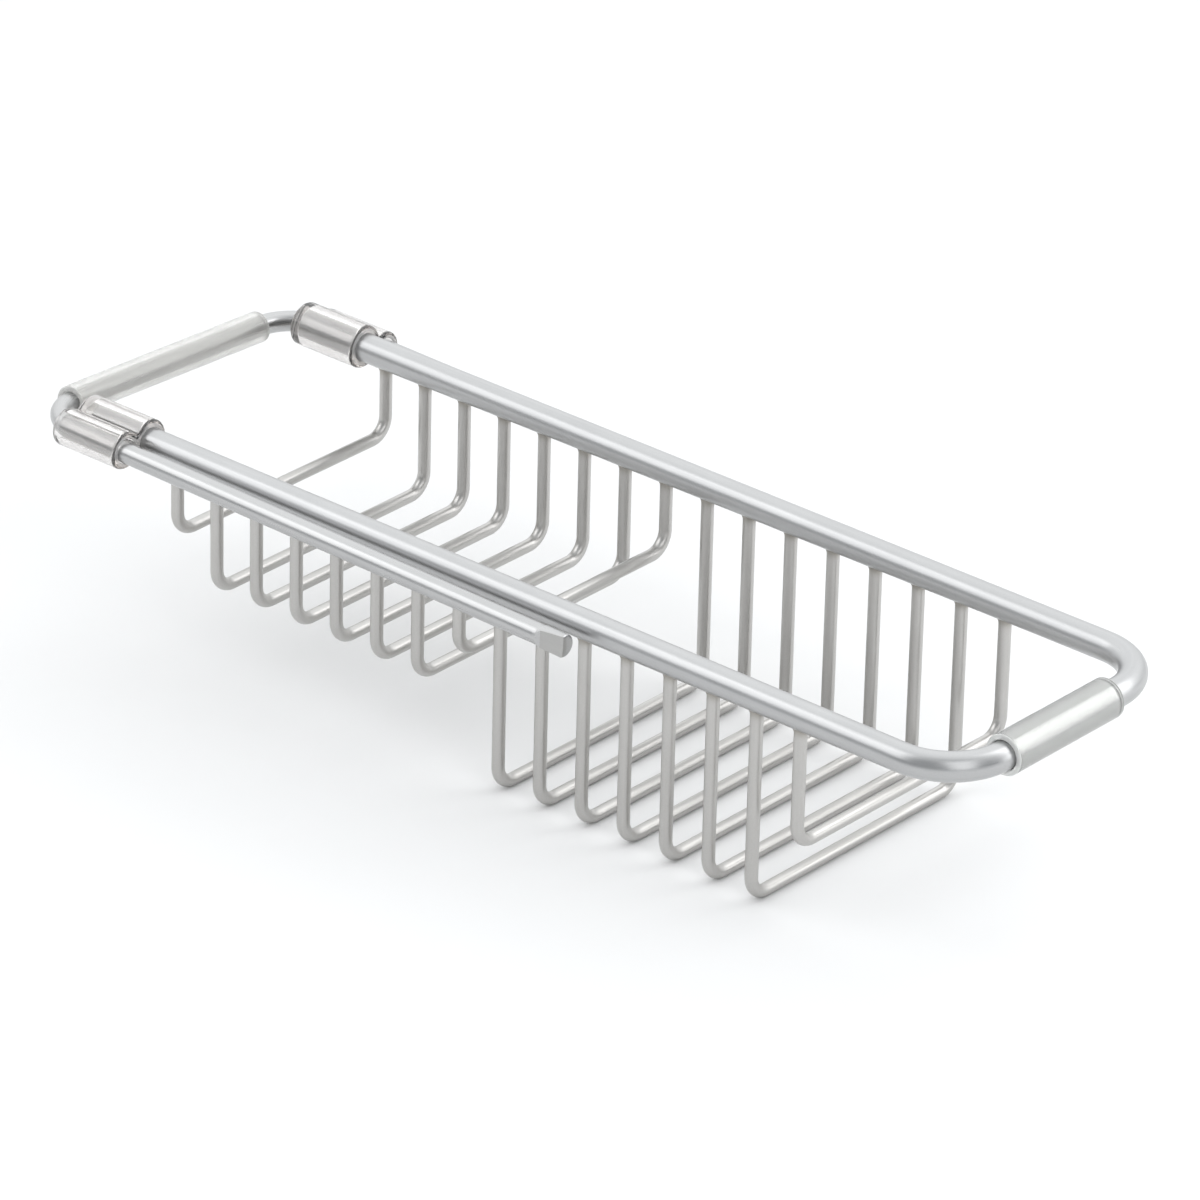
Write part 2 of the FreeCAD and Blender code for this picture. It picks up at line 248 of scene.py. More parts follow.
@dataclass
class Surface:
    """A grid surface: points in rows, quads between them and the values that its finish reads."""

    points: Array
    quads: Quads
    values: dict[str, Array]

    @staticmethod
    def join(parts: list["Surface"]) -> "Surface":
        """Put several surfaces in one, which closes where they share edges.

        Args:
            parts: surfaces that carry the same values.

        Returns:
            One surface with the points, quads and values of all.
        """
        starts = np.cumsum([0] + [len(part.points) for part in parts[:-1]])
        quads = np.concatenate([part.quads + start for part, start in zip(parts, starts)])
        names = parts[0].values
        values = {name: np.concatenate([part.values[name] for part in parts]) for name in names}
        return Surface(np.concatenate([part.points for part in parts]), quads, values)


def grid_quads(rows: int, columns: int, loop: bool = False) -> Quads:
    """Number the quads of a grid whose columns close on themselves.

    Args:
        rows: how many rows of points there are.
        columns: how many points a row has.
        loop: whether the last row joins the first again.

    Returns:
        Rows of quads by columns by four point numbers, which face outwards where the columns run
        counter-clockwise about the direction of the rows.
    """
    row = np.arange(rows if loop else rows - 1)[:, None]
    column = np.arange(columns)[None, :]
    row_after, column_after = (row + 1) % rows, (column + 1) % columns
    corners = (row * columns + column, row * columns + column_after,
               row_after * columns + column_after, row_after * columns + column)
    return np.stack(np.broadcast_arrays(*corners), axis=-1)


def full_turn(columns: int) -> Array:
    """Return angles evenly round a full turn."""
    return np.arange(columns) * (2 * math.pi / columns)


def steps(start: float, end: float, step: float) -> Array:
    """Return evenly spaced values from start to end, about a step apart."""
    return np.linspace(start, end, max(2, round(abs(end - start) / step) + 1))


def quarter_round(count: int) -> tuple[Array, Array]:
    """Return the two legs of a quarter circle of radius 1: how far it has run and how far it has risen."""
    angle = np.linspace(0, QUARTER_TURN, count)
    return 1 - np.cos(angle), np.sin(angle)


# Finishes


@dataclass(frozen=True)
class Pattern:
    """A noise on the straightened bar: bumps a metre across, across and along, and its finer octaves."""

    scale: Triple
    detail: float


class NodeTree:
    """A material's node tree under construction."""

    def __init__(self, name: str) -> None:
        """Start an empty tree with its output."""
        self.material = bpy.data.materials.new(name)
        self.material.use_nodes = True
        self.nodes = self.material.node_tree.nodes
        self.nodes.clear()
        self.output = self.nodes.new("ShaderNodeOutputMaterial")
        self.shader = self.nodes.new("ShaderNodeBsdfPrincipled")
        self.join(self.shader.outputs["BSDF"], self.output.inputs["Surface"])

    def join(self, source: Socket, target: Socket) -> None:
        """Link two sockets."""
        self.material.node_tree.links.new(source, target)

    def settle(self, **values: float) -> None:
        """Set constant values on the shader's own sockets, by their names."""
        for name, value in values.items():
            self.shader.inputs[name].default_value = value

    def feed(self, name: str, source: Socket) -> None:
        """Link a socket to one of the shader's, by its name."""
        self.join(source, self.shader.inputs[name])

    def attribute(self, name: str) -> bpy.types.Node:
        """Add a node that reads one of the mesh's attributes."""
        node = self.nodes.new("ShaderNodeAttribute")
        node.attribute_name = name
        return node

    def share(self, name: str) -> Socket:
        """Read one of the mesh's attributes that is a share from 0 to 1."""
        return self.attribute(name).outputs["Fac"]

    def noise(self, pattern: Pattern) -> Socket:
        """Add a noise pattern on the straightened bar, and return its value."""
        mapping = self.nodes.new("ShaderNodeMapping")
        mapping.inputs["Scale"].default_value = pattern.scale
        self.join(self.attribute(STRAIGHT).outputs["Vector"], mapping.inputs["Vector"])
        node = self.nodes.new("ShaderNodeTexNoise")
        node.inputs["Scale"].default_value = 1.0
        node.inputs["Detail"].default_value = pattern.detail
        self.join(mapping.outputs["Vector"], node.inputs["Vector"])
        return node.outputs["Fac"]

    def spread(self, value: Socket, come: Range, go: Range) -> Socket:
        """Map a value from one range to another, held at the ends.

        Args:
            value: the socket to read.
            come: the range that is spread.
            go: what its two ends become.

        Returns:
            The mapped value's socket.
        """
        node = self.nodes.new("ShaderNodeMapRange")
        for name, number in zip(("From Min", "From Max", "To Min", "To Max"), (*come, *go)):
            node.inputs[name].default_value = number
        self.join(value, node.inputs["Value"])
        return node.outputs["Result"]

    def tint(self, share: Socket, low: Colour | Socket, high: Colour) -> Socket:
        """Mix two colours by a share.

        Args:
            share: the socket with the share of the second colour.
            low: the first colour, or a socket that gives it.
            high: the second colour.

        Returns:
            The mixed colour's socket.
        """
        node = self.nodes.new("ShaderNodeMix")
        node.data_type = "RGBA"
        self.join(share, node.inputs["Factor"])
        if isinstance(low, tuple):
            node.inputs["A"].default_value = (*low, 1)
        else:
            self.join(low, node.inputs["A"])
        node.inputs["B"].default_value = (*high, 1)
        return node.outputs["Result"]

    def add(self, first: Socket, second: Socket) -> Socket:
        """Add two values."""
        node = self.nodes.new("ShaderNodeMath")
        node.operation = "ADD"
        self.join(first, node.inputs[0])
        self.join(second, node.inputs[1])
        return node.outputs["Value"]

    def absorb(self, colour: Colour, density: float) -> None:
        """Fill the piece with a clear body that takes light on the way through."""
        node = self.nodes.new("ShaderNodeVolumeAbsorption")
        node.inputs["Color"].default_value = (*colour, 1)
        node.inputs["Density"].default_value = density
        self.join(node.outputs["Volume"], self.output.inputs["Volume"])

    def bump(self, height: Socket, strength: float, depth: float) -> None:
        """Raise the surface's shading by a height of 0 to 1 times a depth in metres."""
        node = self.nodes.new("ShaderNodeBump")
        node.inputs["Strength"].default_value = strength
        node.inputs["Distance"].default_value = depth
        self.join(height, node.inputs["Height"])
        self.feed("Normal", node.outputs["Normal"])


@dataclass(frozen=True)
class SatinMetal:
    """Satin anodised aluminium: lines and streaks along the bar, blasted grain, blotches and dull places."""

    slot: Slot
    colour: Colour
    shade: Colour
    dull_colour: Colour
    roughness: Range
    dull_roughness: float = 0.15
    grain_depth: float = 1.6e-5
    grain_strength: float = 0.4
    lines: Pattern = Pattern((2600.0, 2600.0, 45.0), 3.0)
    streaks: Pattern = Pattern((750.0, 750.0, 9.0), 2.0)
    blotches: Pattern = Pattern((140.0, 140.0, 60.0), 4.0)
    grain: Pattern = Pattern((2200.0, 2200.0, 2200.0), 2.0)
    usual_lines: Range = (0.25, 0.75)
    streak_share: float = 0.4
    blotch_share: float = 0.3
    grain_share: float = 0.3
    relief_share: float = 0.5

    def material(self) -> bpy.types.Material:
        """Build the finish's node material.

        The colour runs from the shade to the full one by the sum of the streaks', the blotches' and the
        grain's shares, and to the dull one at dull places. The lines set the roughness, which dull places
        add to, and the relief is half lines and half grain.

        Returns:
            The material.
        """
        tree = NodeTree(self.slot.value)
        tree.settle(Metallic=1.0)
        lines, streaks = tree.noise(self.lines), tree.noise(self.streaks)
        blotches, grain = tree.noise(self.blotches), tree.noise(self.grain)
        dull = tree.share(DULL)
        mottle = tree.add(tree.spread(streaks, USUAL, (0.0, self.streak_share)),
                          tree.spread(blotches, USUAL, (0.0, self.blotch_share)))
        mottle = tree.add(mottle, tree.spread(grain, USUAL, (0.0, self.grain_share)))
        plain = tree.tint(mottle, self.shade, self.colour)
        tree.feed("Base Color", tree.tint(dull, plain, self.dull_colour))
        satin = tree.spread(lines, self.usual_lines, self.roughness)
        tree.feed("Roughness", tree.add(satin, tree.spread(dull, FULL, (0.0, self.dull_roughness))))
        relief = tree.add(tree.spread(lines, FULL, (0.0, self.relief_share)),
                          tree.spread(grain, FULL, (0.0, self.relief_share)))
        tree.bump(relief, self.grain_strength, self.grain_depth)
        return tree.material


@dataclass(frozen=True)
class ClearMoulding:
    """Clear glossy plastic: faint flow waves, a little haze in patches and a slightly warm, grey body.

    The transmission's second value holds at dull places.
    """

    slot: Slot
    colour: Colour
    shade: Colour
    roughness: Range
    transmission: Range
    ior: float
    body: Colour
    density: float
    wave_depth: float = 6e-5
    wave_strength: float = 0.3
    waves: Pattern = Pattern((260.0, 260.0, 70.0), 2.0)
    haze: Pattern = Pattern((420.0, 420.0, 300.0), 5.0)
    hazy: Range = (0.45, 0.75)

    def material(self) -> bpy.types.Material:
        """Build the finish's node material."""
        tree = NodeTree(self.slot.value)
        tree.settle(IOR=self.ior)
        tree.feed("Transmission Weight", tree.spread(tree.share(DULL), FULL, self.transmission))
        waves, haze = tree.noise(self.waves), tree.noise(self.haze)
        tree.feed("Base Color", tree.tint(tree.spread(waves, USUAL, FULL), self.shade, self.colour))
        tree.feed("Roughness", tree.spread(haze, self.hazy, self.roughness))
        tree.bump(waves, self.wave_strength, self.wave_depth)
        tree.absorb(self.body, self.density)
        return tree.material


@dataclass(frozen=True)
class SoftSleeve:
    """A soft see-through sleeve: drawn streaks, cloudy patches, a satin skin and a bore that may cling to its bar.

    The transmission's second value holds at dull places. Where the bore clings, the bar's metal shows in it
    without a gap of air between.
    """

    slot: Slot
    colour: Colour
    shade: Colour
    roughness: Range
    transmission: Range
    ior: float
    clings: bool = False
    bar_colour: Colour = (0.455, 0.458, 0.452)
    bar_roughness: float = 0.12
    streak_depth: float = 1e-6
    streak_strength: float = 0.2
    streaks: Pattern = Pattern((900.0, 900.0, 18.0), 3.0)
    clouds: Pattern = Pattern((190.0, 190.0, 80.0), 4.0)

    def material(self) -> bpy.types.Material:
        """Build the finish's node material."""
        tree = NodeTree(self.slot.value)
        tree.settle(IOR=self.ior)
        tree.feed("Transmission Weight", tree.spread(tree.share(DULL), FULL, self.transmission))
        streaks, clouds = tree.noise(self.streaks), tree.noise(self.clouds)
        skin = tree.tint(tree.spread(clouds, USUAL, FULL), self.shade, self.colour)
        satin = tree.spread(clouds, USUAL, self.roughness)
        if self.clings:
            bore = tree.share(BORE)
            tree.feed("Metallic", bore)
            skin = tree.tint(bore, skin, self.bar_colour)
            satin = tree.add(satin, tree.spread(bore, FULL, (0.0, self.bar_roughness)))
        tree.feed("Base Color", skin)
        tree.feed("Roughness", satin)
        tree.bump(streaks, self.streak_strength, self.streak_depth)
        return tree.material


SATIN_TUBE = SatinMetal(
    Slot.TUBE, colour=(0.505, 0.507, 0.509), shade=(0.44, 0.443, 0.447),
    dull_colour=(0.38, 0.365, 0.34), roughness=(0.27, 0.36))
SATIN_WIRE = SatinMetal(
    Slot.WIRE, colour=(0.55, 0.541, 0.526), shade=(0.47, 0.461, 0.446),
    dull_colour=(0.38, 0.36, 0.33), roughness=(0.28, 0.37))
SATIN_ROD = SatinMetal(
    Slot.ROD, colour=(0.515, 0.515, 0.515), shade=(0.45, 0.452, 0.455),
    dull_colour=(0.39, 0.38, 0.36), roughness=(0.25, 0.34))
CLEAR_PLASTIC = ClearMoulding(
    Slot.CLEAR, colour=(0.98, 0.972, 0.965), shade=(0.945, 0.935, 0.925), roughness=(0.0, 0.03),
    transmission=(0.95, 0.62), ior=1.49, body=(0.80, 0.77, 0.75), density=90.0)
SATIN_GRIP = SoftSleeve(
    Slot.GRIP, colour=(0.95, 0.955, 0.94), shade=(0.91, 0.915, 0.895), roughness=(0.085, 0.125),
    transmission=(0.9, 0.35), ior=1.48, clings=True)
FROSTED_GRIP = SoftSleeve(
    Slot.FROSTED, colour=(0.96, 0.953, 0.93), shade=(0.92, 0.912, 0.89), roughness=(0.15, 0.19),
    transmission=(0.8, 0.45), ior=1.46)


def add_piece(name: str, surface: Surface, material: bpy.types.Material, slot: Slot, body: Body,
              *nodes: str) -> None:
    """Turn a surface into a piece of the holder, an object at the origin with its place in its mesh.

    Args:
        name: the piece's name.
        surface: its points, quads and values, in the part's frame.
        material: its finish's material.
        slot: the record's slot of that finish; not used.
        body: the body that it rides on.
        nodes: the CAD nodes that it stands for.
    """
    mesh = bpy.data.meshes.new(name)
    mesh.vertices.add(len(surface.points))
    mesh.vertices.foreach_set("co", surface.points.astype(np.float32).ravel())
    mesh.loops.add(surface.quads.size)
    mesh.loops.foreach_set("vertex_index", surface.quads.astype(np.int32).ravel())
    mesh.polygons.add(len(surface.quads))
    mesh.polygons.foreach_set("loop_start", np.arange(0, surface.quads.size, 4, dtype=np.int32))
    mesh.update(calc_edges=True)
    for value_name, values in surface.values.items():
        is_vector = values.ndim == 2
        attribute = mesh.attributes.new(value_name, "FLOAT_VECTOR" if is_vector else "FLOAT", "POINT")
        attribute.data.foreach_set("vector" if is_vector else "value", values.astype(np.float32).ravel())
    close_mesh(mesh)
    mesh.materials.append(material)
    piece = bpy.data.objects.new(name, mesh)
    bpy.context.scene.collection.objects.link(piece)
    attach(piece, body.value)
    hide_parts(*nodes)
    log.info("%s: %d faces on %s", name, len(mesh.polygons), body.value)


def close_mesh(mesh: bpy.types.Mesh) -> None:
    """Merge the doubled points of poles and shared edges, and shade the mesh smooth up to its crisp edges."""
    shell = bmesh.new()
    shell.from_mesh(mesh)
    bmesh.ops.remove_doubles(shell, verts=shell.verts, dist=MERGE)
    shell.to_mesh(mesh)
    shell.free()
    mesh.shade_smooth()
    mesh.set_sharp_from_angle(angle=CRISP)


# Bars, tubes and sleeves


def bar_values(along: Array, inward: Array, upward: Array, shift: float = 0.0) -> dict[str, Array]:
    """Give each point its place on the straightened bar.

    Args:
        along: one distance for each row.
        inward: rows by columns of offsets across.
        upward: rows by columns of offsets across, square to the others.
        shift: how far the pattern is moved along.

    Returns:
        The values for the finish, with no dull place.
    """
    length = np.broadcast_to(along[:, None] + shift, inward.shape)
    straight = np.stack([inward, upward, length], axis=-1).reshape(-1, 3)
    return {STRAIGHT: straight, DULL: np.zeros(len(straight))}


def close_ends(bar: Surface, rows: int, columns: int) -> Surface:
    """Close both ends of an open bar with a fan to the middle of its end row.

    Args:
        bar: a grid of rows and columns with its values.
        rows: how many rows it has.
        columns: how many points a row has.

    Returns:
        The bar with two more rows, each of them one point repeated, which merging turns into a pole.
    """
    def with_poles(values: Array) -> Array:
        """Add the mean of the first row before it and the mean of the last row after it."""
        grid = values.reshape(rows, columns, -1)
        poles = [np.repeat(grid[row].mean(axis=0)[None, None], columns, axis=1) for row in (0, -1)]
        stacked = np.concatenate([poles[0], grid, poles[1]])
        return stacked.reshape(-1, grid.shape[2]) if values.ndim == 2 else stacked.ravel()

    values = {name: with_poles(value) for name, value in bar.values.items()}
    return Surface(with_poles(bar.points), grid_quads(rows + 2, columns).reshape(-1, 4), values)


@dataclass(frozen=True)
class TubeShape:
    """A tube along a stretch of a bent path, with rounded rims."""

    path: BentPath
    place: Place
    start: float
    end: float
    outer: float
    inner: float
    rim: float
    columns: int = 64
    step: float = 1.2 * MM
    rim_rows: int = 6

    def surface(self) -> Surface:
        """Build the wall: circles along the outside, round the far rim, back along the bore and round the near rim.

        A row is a circle of its own radius at its own distance along the path. At a rim the radius and the
        distance follow quarter circles, so the rows close on themselves.

        Returns:
            The closed wall.
        """
        run, rise = quarter_round(self.rim_rows)
        straight = steps(self.start + self.rim, self.end - self.rim, self.step)
        near, far = self.start + self.rim * (1 - rise), self.end - self.rim * (1 - rise)
        outside = np.full(len(straight), self.outer)
        bore = np.full(len(straight), self.inner)
        along = np.concatenate([straight, far[1:], far[::-1][:-1], straight[::-1], near[1:], near[::-1][:-1]])
        radius = np.concatenate([
            outside, (self.outer - self.rim * run)[1:], (self.inner + self.rim * run)[::-1][:-1],
            bore, (self.inner + self.rim * run)[1:], (self.outer - self.rim * run)[::-1][:-1]])
        angle = full_turn(self.columns)
        inward, upward = radius[:, None] * np.cos(angle), radius[:, None] * np.sin(angle)
        points = self.place.put(self.path.carry(along, inward, upward)).reshape(-1, 3)
        quads = grid_quads(len(along), self.columns, loop=True).reshape(-1, 4)
        values = bar_values(along, inward, upward)
        end_rows = 2 * (self.rim_rows - 1)
        counts = np.array([len(straight), end_rows, len(straight), end_rows]) * self.columns
        values[DULL] = np.repeat([0.0, 1.0, 0.0, 1.0], counts)
        values[BORE] = np.repeat([0.0, 0.0, 1.0, 0.0], counts)
        return Surface(points, quads, values)


@dataclass(frozen=True)
class MainFrame:
    """The tube that carries everything, and the sleeve on its cross bar."""

    rail_spacing: float = 93.5 * MM
    rail_length: float = 333.5 * MM
    bend_radius: float = 20.0 * MM
    rail_radius: float = 4.5 * MM
    rail_wall: float = 1.2 * MM
    rail_rim: float = 0.25 * MM
    grip_radius: float = 6.4 * MM
    grip_bore_radius: float = 4.6 * MM
    grip_length: float = 48.0 * MM
    grip_shift: float = -2.2 * MM
    grip_rim: float = 0.5 * MM
    grip_columns: int = 96

    @property
    def rail_height(self) -> float:
        """The height of the rails' middle, which the sleeve on the rim sets."""
        return self.grip_radius

    @property
    def path(self) -> BentPath:
        """The tube's middle line."""
        return BentPath(self.rail_length, self.rail_spacing, self.bend_radius)

    @property
    def place(self) -> Place:
        """Where that line starts: at the left end of the front rail."""
        base = np.array([-self.rail_length, -self.rail_spacing / 2, self.rail_height])
        return Place(base, np.eye(3))

    def build(self) -> None:
        """Make the tube and the sleeve."""
        tube = TubeShape(self.path, self.place, 0.0, self.path.length, self.rail_radius,
                         self.rail_radius - self.rail_wall, self.rail_rim)
        add_piece("main_tube", tube.surface(), SATIN_TUBE.material(), Slot.TUBE, Body.BASKET, "main_frame")
        middle = self.path.bar_start + self.path.bar / 2 + self.grip_shift
        sleeve = TubeShape(self.path, self.place, middle - self.grip_length / 2, middle + self.grip_length / 2,
                           self.grip_radius, self.grip_bore_radius, self.grip_rim, columns=self.grip_columns)
        add_piece("right_sleeve", sleeve.surface(), SATIN_GRIP.material(), Slot.GRIP, Body.BASKET,
                  "right_grip_sleeve")


@dataclass(frozen=True)
class WireBasket:
    """The wires that hang under the rails, each welded to both."""

    main: MainFrame
    wire_radius: float = 2.0 * MM
    bend_radius: float = 6.5 * MM
    first_wire: float = -301.5 * MM
    pitch: float = 16.3 * MM
    shallow_depth: float = 26.8 * MM
    left_tray_depth: float = 40.5 * MM
    right_tray_depth: float = 65.6 * MM
    end_depth: float = 42.4 * MM
    left_tray_wires: int = 6
    right_tray_wires: int = 7
    weld_bead: float = 0.5 * MM
    weld_height: float = 1.3 * MM
    weld_sink: float = 0.05 * MM
    weld_tint: float = 4.0 * MM
    saddle_fade: float = 3.0 * MM
    columns: int = 40
    step: float = 1.0 * MM
    weld_step: float = 1.0 / 3 * MM

    def depths(self) -> dict[str, float]:
        """Return the wires' node names from left to right, each with its depth."""
        left = {f"left_tray_wire_{k + 1}": self.left_tray_depth for k in range(self.left_tray_wires)}
        right = {f"right_tray_wire_{k + 1}": self.right_tray_depth for k in range(self.right_tray_wires)}
        return {"left_end_wire": self.shallow_depth, **left, "divider_wire": self.shallow_depth, **right,
                "right_end_wire": self.end_depth}

    def surface(self, along_rail: float, depth: float, shift: float) -> Surface:
        """Build one wire: circles carried down a leg, along the bottom and up the other leg.

        From a rail, the first rows are lifted by the saddle √(R² − w²) − R of the rail's round underside,
        where w is how far a point is across the rail, and swell by a bead that fades with the square of the
        distance. A single point closes each end inside the rail.

        Args:
            along_rail: the wire's place along X.
            depth: how far its bottom is below the rails' middle.
            shift: how far the finish's pattern is moved along.

        Returns:
            The closed wire.
        """
        path = BentPath(depth, self.main.rail_spacing, self.bend_radius)
        rail = self.main.rail_radius
        near = rail - self.weld_sink
        weld_end = near + 2 * self.weld_tint
        weld_rows = steps(near, weld_end, self.weld_step)
        between = steps(weld_end, path.length - weld_end, self.step)[1:-1]
        along = np.concatenate([weld_rows, between, path.length - weld_rows[::-1]])
        from_rail = np.minimum(along, path.length - along) - near
        bead = self.weld_bead * np.clip(1 - from_rail / self.weld_height, 0, 1) ** 2
        radius = (self.wire_radius + bead)[:, None]
        angle = full_turn(self.columns)
        inward, upward = radius * np.cos(angle), radius * np.sin(angle)
        saddle = np.sqrt(rail ** 2 - inward ** 2) - rail
        points = path.carry(along, inward, upward)
        points[..., 0] += saddle * (1 - smooth(from_rail / self.saddle_fade))[:, None]
        values = bar_values(along, inward, upward, shift)
        tint = (1 - smooth(from_rail / self.weld_tint)) ** 2
        values[DULL] = np.broadcast_to(tint[:, None], inward.shape).ravel()
        place = Place(np.array([along_rail, -self.main.rail_spacing / 2, self.main.rail_height]), about_y(90))
        quads = grid_quads(len(along), self.columns).reshape(-1, 4)
        wire = Surface(place.put(points).reshape(-1, 3), quads, values)
        return close_ends(wire, len(along), self.columns)

    def build(self) -> None:
        """Make the wires from left to right."""
        material = SATIN_WIRE.material()
        for k, (node, depth) in enumerate(self.depths().items()):
            surface = self.surface(self.first_wire + k * self.pitch, depth, k * PATTERN_STEP)
            add_piece(node.replace("_wire", "_bar"), surface, material, Slot.WIRE, Body.BASKET, node)


# Sliding end


@dataclass(frozen=True)
class Connector:
    """A clear moulding: a blind socket on a rail's end beside a through bore for an arm."""

    main: MainFrame
    side: Side
    left: float
    droop: float
    length: float = 25.5 * MM
    end_wall: float = 2.4 * MM
    socket_radius: float = 4.55 * MM
    socket_wall: float = 2.4 * MM
    bore_radius: float = 4.0 * MM
    bore_wall: float = 2.0 * MM
    bore_to_socket: float = 10.5 * MM
    edge: float = 0.9 * MM
    mouth: float = 0.3 * MM
    valley: float = 1.0 * MM
    support: float = 0.08 * MM
    step: float = 1.0 * MM
    arc_columns: int = 72
    chord_columns: int = 12
    edge_rows: int = 8
    face_shares: Range = (0.3, 0.7)
    floor_shares: Range = (0.95, 0.5)
    end_share: float = 0.5
    solve_rounds: int = 48

    @property
    def place(self) -> Place:
        """Where the moulding sits: its own x along the rail, its own y from the socket to the bore."""
        turn = about_x(-self.droop if self.side is Side.REAR else 180 + self.droop)
        base = np.array([self.left, self.side.value * self.main.rail_spacing / 2, self.main.rail_height])
        return Place(base, turn)

    def field(self, points: Array) -> Array:
        """Return how far points are outside the outline: the smooth least of the distances from both barrels.

        Where the two distances a and b differ by less than the valley's size k, the least is lowered by
        (k − |a − b|)² / 4k, which rounds the valley between the barrels.

        Args:
            points: points in the moulding's own y and z.

        Returns:
            One distance for each point, below 0 inside.
        """
        socket = np.hypot(points[..., 0], points[..., 1]) - self.socket_radius - self.socket_wall
        bore = np.hypot(points[..., 0] - self.bore_to_socket, points[..., 1]) - self.bore_radius - self.bore_wall
        near = np.clip(self.valley - np.abs(socket - bore), 0, None)
        return np.minimum(socket, bore) - near ** 2 / (4 * self.valley)

    @property
    def split(self) -> float:
        """Where the plane between both halves crosses the line from the socket to the bore."""
        socket = self.socket_radius + self.socket_wall
        bore = self.bore_radius + self.bore_wall
        return (self.bore_to_socket ** 2 + socket ** 2 - bore ** 2) / (2 * self.bore_to_socket)

    def solve(self, centre: Array, direction: Array, inset: float) -> Array:
        """Find how far from a centre the outline is, by halving.

        Args:
            centre: where the rays start.
            direction: unit vectors of the rays.
            inset: how far inside the outline the answer lies.

        Returns:
            One distance for each ray.
        """
        low = np.zeros(direction.shape[0])
        high = np.full(direction.shape[0], 2 * self.bore_to_socket)
        for _ in range(self.solve_rounds):
            middle = (low + high) / 2
            inside = self.field(centre + middle[:, None] * direction) < -inset
            low, high = np.where(inside, middle, low), np.where(inside, high, middle)
        return (low + high) / 2

    def outline(self, inset: float, at_socket: bool) -> Array:
        """Work out half of the outline, as an arc round one barrel and the chord between both halves.

        Args:
            inset: how far the outline is drawn in.
            at_socket: whether it is the socket's half or the bore's.

        Returns:
            Points in the moulding's own y and z, counter-clockwise, the arc's first and then the chord's.
        """
        waist = self.solve(np.array([self.split, 0.0]), np.array([[0.0, 1.0]]), inset)[0]
        centre = np.array([0.0 if at_socket else self.bore_to_socket, 0.0])
        corner = math.atan2(waist, self.split - centre[0])
        if at_socket:
            angle = np.linspace(corner, 2 * math.pi - corner, self.arc_columns)
            ends = (-waist, waist)
        else:
            angle = np.linspace(-corner, corner, self.arc_columns)
            ends = (waist, -waist)
        direction = np.stack([np.cos(angle), np.sin(angle)], axis=-1)
        arc = centre + self.solve(centre, direction, inset)[:, None] * direction
        chord = np.linspace(*ends, self.chord_columns + 2)
        arc[0], arc[-1] = (self.split, chord[-1]), (self.split, chord[0])
        inner = np.stack([np.full(self.chord_columns, self.split), chord[1:-1]], axis=-1)
        return np.concatenate([arc, inner])

    def half(self, at_socket: bool) -> Surface:
        """Build one half: its skin, its rounded rims, its end faces and its bore or socket.

        Rows of the half's outline run along x. At a rim the inset follows a quarter circle. From the rims the
        end faces run straight in to the hole's circle, and the hole runs back along x. A blind socket ends in
        one point on its floor, and its outer end face in one point on its middle. The chord has no skin, so
        both halves meet there in one body.

        Args:
            at_socket: whether it is the socket's half or the bore's.

        Returns:
            The half, open along the chord.
        """
        run, rise = quarter_round(self.edge_rows)
        between = steps(self.edge + self.support, self.length - self.edge - self.support, self.step)
        skin_x = np.concatenate([self.edge * run, between, self.length - (self.edge * run)[::-1]])
        inset = np.concatenate([self.edge * (1 - rise), np.zeros(len(between)), (self.edge * (1 - rise))[::-1]])
        outlines = {float(amount): self.outline(float(amount), at_socket) for amount in np.unique(inset)}
        skin = [outlines[float(amount)] for amount in inset]
        centre = np.array([0.0 if at_socket else self.bore_to_socket, 0.0])
        hole = self.socket_radius if at_socket else self.bore_radius
        to_outline = skin[-1] - centre
        unit = to_outline / np.linalg.norm(to_outline, axis=1, keepdims=True)
        mouth_radius = hole + self.mouth * run
        mouth_x = self.length - self.mouth * (1 - rise)
        rim = centre + unit * mouth_radius[-1]
        near_rim = self.support / self.edge
        face = [skin[-1] + share * (rim - skin[-1]) for share in (near_rim, *self.face_shares, 1 - near_rim)]
        right_face = face + [centre + unit * radius for radius in mouth_radius[::-1]]
        right_x = np.concatenate([np.full(len(face), self.length), mouth_x[::-1]])
        wall_end = self.end_wall if at_socket else self.mouth + self.support
        wall_x = steps(mouth_x[0] - self.support, wall_end, self.step)
        wall = [centre + unit * hole] * len(wall_x)
        if at_socket:
            pole = np.broadcast_to(centre, skin[0].shape)
            start = [pole] + [centre + share * (skin[0] - centre) for share in (self.end_share, 1 - near_rim)]
            finish = [centre + unit * hole * share for share in self.floor_shares] + [pole]
            start_x, finish_x = np.zeros(len(start)), np.full(len(finish), self.end_wall)
        else:
            start = []
            finish = [centre + unit * radius for radius in mouth_radius] + face[::-1]
            start_x, finish_x = np.zeros(0), np.concatenate([self.mouth * (1 - rise), np.zeros(len(face))])
        flat = np.stack(start + skin + right_face + wall + finish)
        row_x = np.concatenate([start_x, skin_x, right_x, wall_x, finish_x])
        x = np.broadcast_to(row_x[:, None], flat.shape[:2])
        points = np.concatenate([x[..., None], flat], axis=-1)
        quads = grid_quads(*flat.shape[:2], loop=not at_socket)
        has_skin = np.ones(quads.shape[:2], bool)
        has_skin[len(start):len(start) + len(skin) - 1, self.arc_columns - 1:] = False
        straight = np.concatenate([flat, x[..., None]], axis=-1).reshape(-1, 3)
        counts = np.array([len(start) + len(skin), len(right_face), len(wall), len(finish)]) * flat.shape[1]
        is_cut = np.repeat([0.0, 1.0, 0.0, 0.0 if at_socket else 1.0], counts)
        values = {STRAIGHT: straight + self.side.value * PATTERN_STEP, DULL: is_cut}
        return Surface(self.place.put(points.reshape(-1, 3)), quads[has_skin], values)

